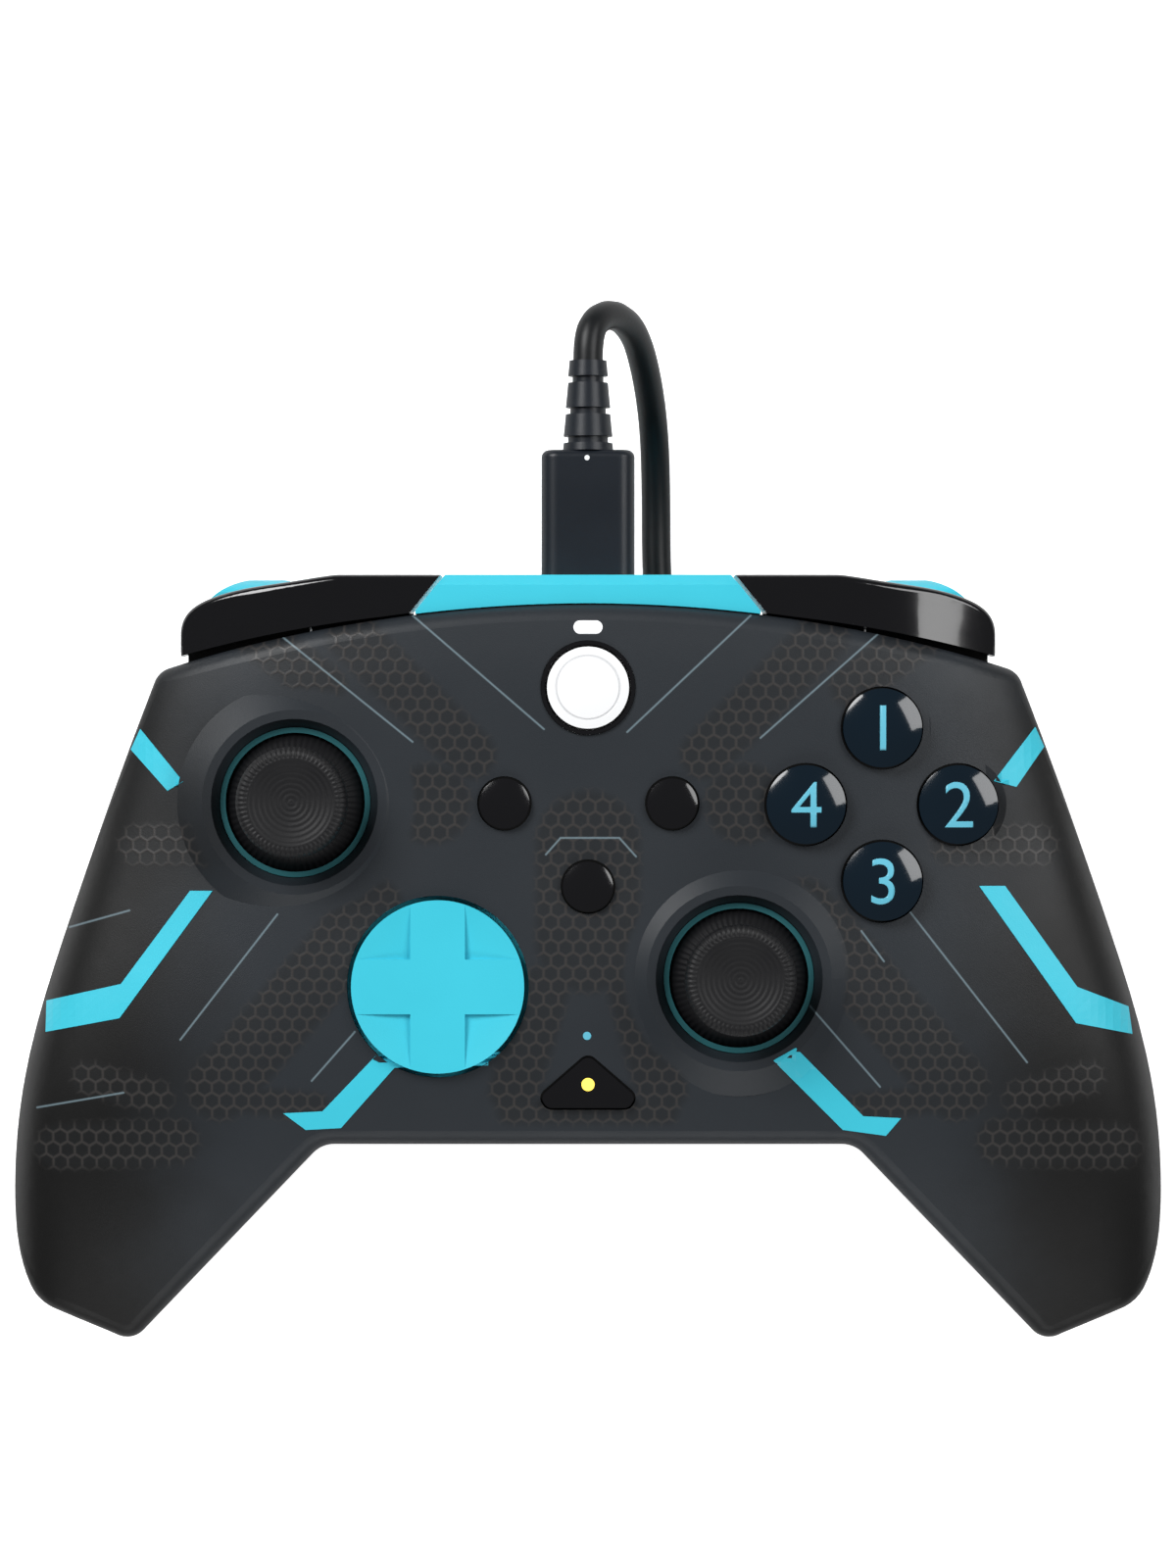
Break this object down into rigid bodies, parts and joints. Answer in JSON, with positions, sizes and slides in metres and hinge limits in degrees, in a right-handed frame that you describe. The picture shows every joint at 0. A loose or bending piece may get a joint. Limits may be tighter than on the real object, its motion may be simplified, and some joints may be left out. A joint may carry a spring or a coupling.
{
  "type": "gamepad controller",
  "caption": "Wired gamepad with two clickable thumbsticks, a tilting direction pad, push buttons, hinged bumpers and triggers, back buttons, rumble motors and a coiled detachable lead.",
  "frame": {"origin": "centre of the pad's bounding box in plan, without the lead, at the level that the grips rest on", "axes": "+X to the right of the player's view of the face, +Y towards the cable socket, +Z out of the face"},
  "size_m": [0.154, 0.1398, 0.0543],
  "materials": {
    "shell": "fine grain, charcoal",
    "gloss_black": "polished",
    "cyan_plastic": "satin",
    "stick_rubber": "satin",
    "teal_ring": "satin",
    "white_plastic": "translucent white",
    "lamp_yellow": "clear lamp",
    "board": "solder mask",
    "inner_plastic": "as moulded",
    "membrane": "matt",
    "steel": "plated",
    "brass": "turned",
    "plug_plastic": "moulded",
    "cord_jacket": "satin jacket"
  },
  "bodies": {
    "pad": {"front_shell": "shell", "rear_shell": "shell", "shell_screws": "steel", "main_board": "board", "tact_switches": "inner_plastic", "dpad_base": "inner_plastic", "dpad_membrane": "membrane", "face_membrane": "membrane", "guide_ring": "gloss_black", "status_light": "white_plastic", "top_bar": "cyan_plastic", "bumper_pins": "steel", "trigger_pins": "steel", "trigger_springs": "steel", "usb_socket": "steel", "audio_jack": "inner_plastic", "usb_plug": "plug_plastic", "strain_relief": "plug_plastic", "cord_lead": "cord_jacket", "cord_coil": "cord_jacket", "cord_tail": "cord_jacket", "cord_tie": "membrane", "far_plug": "plug_plastic", "far_plug_shell": "steel", "left_stick_housing": "inner_plastic", "left_stick_ring": "teal_ring", "left_trigger_housing": "inner_plastic", "left_rumble_motor": "steel", "right_stick_housing": "inner_plastic", "right_stick_ring": "teal_ring", "right_trigger_housing": "inner_plastic", "right_rumble_motor": "steel"},
    "dpad_cross": {"dpad_pivot": "steel"},
    "dpad": {"dpad_disc": "cyan_plastic"},
    "north": {"button_north": "gloss_black"},
    "east": {"button_east": "gloss_black"},
    "south": {"button_south": "gloss_black"},
    "west": {"button_west": "gloss_black"},
    "view": {"view_button": "gloss_black"},
    "menu": {"menu_button": "gloss_black"},
    "share": {"share_button": "gloss_black"},
    "guide": {"guide_button": "white_plastic"},
    "function": {"function_button": "gloss_black", "function_light": "lamp_yellow"},
    "left_yoke": {"left_stick_yoke": "inner_plastic"},
    "left_swivel": {"left_stick_swivel": "inner_plastic"},
    "left_stick": {"left_thumbstick": "stick_rubber", "left_stick_post": "inner_plastic"},
    "left_bumper": {"left_bumper": "gloss_black"},
    "left_trigger": {"left_trigger": "cyan_plastic"},
    "left_back": {"left_back_button": "gloss_black"},
    "left_weight": {"left_rumble_weight": "brass"},
    "right_yoke": {"right_stick_yoke": "inner_plastic"},
    "right_swivel": {"right_stick_swivel": "inner_plastic"},
    "right_stick": {"right_thumbstick": "stick_rubber", "right_stick_post": "inner_plastic"},
    "right_bumper": {"right_bumper": "gloss_black"},
    "right_trigger": {"right_trigger": "cyan_plastic"},
    "right_back": {"right_back_button": "gloss_black"},
    "right_weight": {"right_rumble_weight": "brass"}
  },
  "joints": [
    {"name": "left_stick_pitch", "type": "hinge", "parent": "pad", "child": "left_yoke", "pos_m": [-0.0387, 0.0209, 0.03523], "axis": [1, 0, 0], "range_deg": [-18, 18], "stiffness_Nm_per_rad": 0.05},
    {"name": "left_stick_roll", "type": "hinge", "parent": "left_yoke", "child": "left_swivel", "pos_m": [-0.0387, 0.0209, 0.03523], "axis": [0, 1, 0], "range_deg": [-18, 18], "stiffness_Nm_per_rad": 0.05},
    {"name": "left_stick_click", "type": "slide", "parent": "left_swivel", "child": "left_stick", "axis": [0, 0, -1], "range_m": [0, 0.0008], "stiffness_N_per_m": 1500, "springref_m": -0.0005},
    {"name": "right_stick_pitch", "type": "hinge", "parent": "pad", "child": "right_yoke", "pos_m": [0.0199, -0.0023, 0.03632], "axis": [1, 0, 0], "range_deg": [-18, 18], "stiffness_Nm_per_rad": 0.05},
    {"name": "right_stick_roll", "type": "hinge", "parent": "right_yoke", "child": "right_swivel", "pos_m": [0.0199, -0.0023, 0.03632], "axis": [0, 1, 0], "range_deg": [-18, 18], "stiffness_Nm_per_rad": 0.05},
    {"name": "right_stick_click", "type": "slide", "parent": "right_swivel", "child": "right_stick", "axis": [0, 0, -1], "range_m": [0, 0.0008], "stiffness_N_per_m": 1500, "springref_m": -0.0005},
    {"name": "dpad_pitch", "type": "hinge", "parent": "pad", "child": "dpad_cross", "pos_m": [-0.0198, -0.0034, 0.03951], "axis": [1, 0, 0], "range_deg": [-3.5, 3.5], "stiffness_Nm_per_rad": 0.1},
    {"name": "dpad_roll", "type": "hinge", "parent": "dpad_cross", "child": "dpad", "pos_m": [-0.0198, -0.0034, 0.03951], "axis": [0, 1, 0], "range_deg": [-3.5, 3.5], "stiffness_Nm_per_rad": 0.1},
    {"name": "north_press", "type": "slide", "parent": "pad", "child": "north", "axis": [0, 0, -1], "range_m": [0, 0.0012], "stiffness_N_per_m": 300, "springref_m": -0.0005},
    {"name": "east_press", "type": "slide", "parent": "pad", "child": "east", "axis": [0, 0, -1], "range_m": [0, 0.0012], "stiffness_N_per_m": 300, "springref_m": -0.0005},
    {"name": "south_press", "type": "slide", "parent": "pad", "child": "south", "axis": [0, 0, -1], "range_m": [0, 0.0012], "stiffness_N_per_m": 300, "springref_m": -0.0005},
    {"name": "west_press", "type": "slide", "parent": "pad", "child": "west", "axis": [0, 0, -1], "range_m": [0, 0.0012], "stiffness_N_per_m": 300, "springref_m": -0.0005},
    {"name": "view_press", "type": "slide", "parent": "pad", "child": "view", "axis": [0, 0, -1], "range_m": [0, 0.0006], "stiffness_N_per_m": 300, "springref_m": -0.0005},
    {"name": "menu_press", "type": "slide", "parent": "pad", "child": "menu", "axis": [0, 0, -1], "range_m": [0, 0.0006], "stiffness_N_per_m": 300, "springref_m": -0.0005},
    {"name": "share_press", "type": "slide", "parent": "pad", "child": "share", "axis": [0, 0, -1], "range_m": [0, 0.0006], "stiffness_N_per_m": 300, "springref_m": -0.0005},
    {"name": "guide_press", "type": "slide", "parent": "pad", "child": "guide", "axis": [0, 0, -1], "range_m": [0, 0.0004], "stiffness_N_per_m": 300, "springref_m": -0.0005},
    {"name": "function_press", "type": "slide", "parent": "pad", "child": "function", "axis": [0, 0, -1], "range_m": [0, 0.0006], "stiffness_N_per_m": 300, "springref_m": -0.0005},
    {"name": "left_bumper_press", "type": "hinge", "parent": "pad", "child": "left_bumper", "pos_m": [-0.0275, 0.0481, 0.036], "axis": [0, 0, 1], "range_deg": [0, 1.6], "stiffness_Nm_per_rad": 0.5, "springref_deg": -1.72},
    {"name": "left_trigger_pull", "type": "hinge", "parent": "pad", "child": "left_trigger", "pos_m": [-0.0455, 0.0335, 0.028], "axis": [-1, 0, 0], "range_deg": [0, 16], "stiffness_Nm_per_rad": 0.05, "springref_deg": -14.32},
    {"name": "left_back_press", "type": "slide", "parent": "pad", "child": "left_back", "axis": [0, 0, 1], "range_m": [0, 0.0006], "stiffness_N_per_m": 300, "springref_m": -0.0005},
    {"name": "left_weight_spin", "type": "hinge", "parent": "pad", "child": "left_weight", "pos_m": [-0.0615, -0.029, 0.0165], "axis": [0, 1, 0], "continuous": true},
    {"name": "right_bumper_press", "type": "hinge", "parent": "pad", "child": "right_bumper", "pos_m": [0.0275, 0.0481, 0.036], "axis": [0, 0, -1], "range_deg": [0, 1.6], "stiffness_Nm_per_rad": 0.5, "springref_deg": -1.72},
    {"name": "right_trigger_pull", "type": "hinge", "parent": "pad", "child": "right_trigger", "pos_m": [0.0455, 0.0335, 0.028], "axis": [-1, 0, 0], "range_deg": [0, 16], "stiffness_Nm_per_rad": 0.05, "springref_deg": -14.32},
    {"name": "right_back_press", "type": "slide", "parent": "pad", "child": "right_back", "axis": [0, 0, 1], "range_m": [0, 0.0006], "stiffness_N_per_m": 300, "springref_m": -0.0005},
    {"name": "right_weight_spin", "type": "hinge", "parent": "pad", "child": "right_weight", "pos_m": [0.0615, -0.029, 0.0165], "axis": [0, 1, 0], "continuous": true}
  ]
}
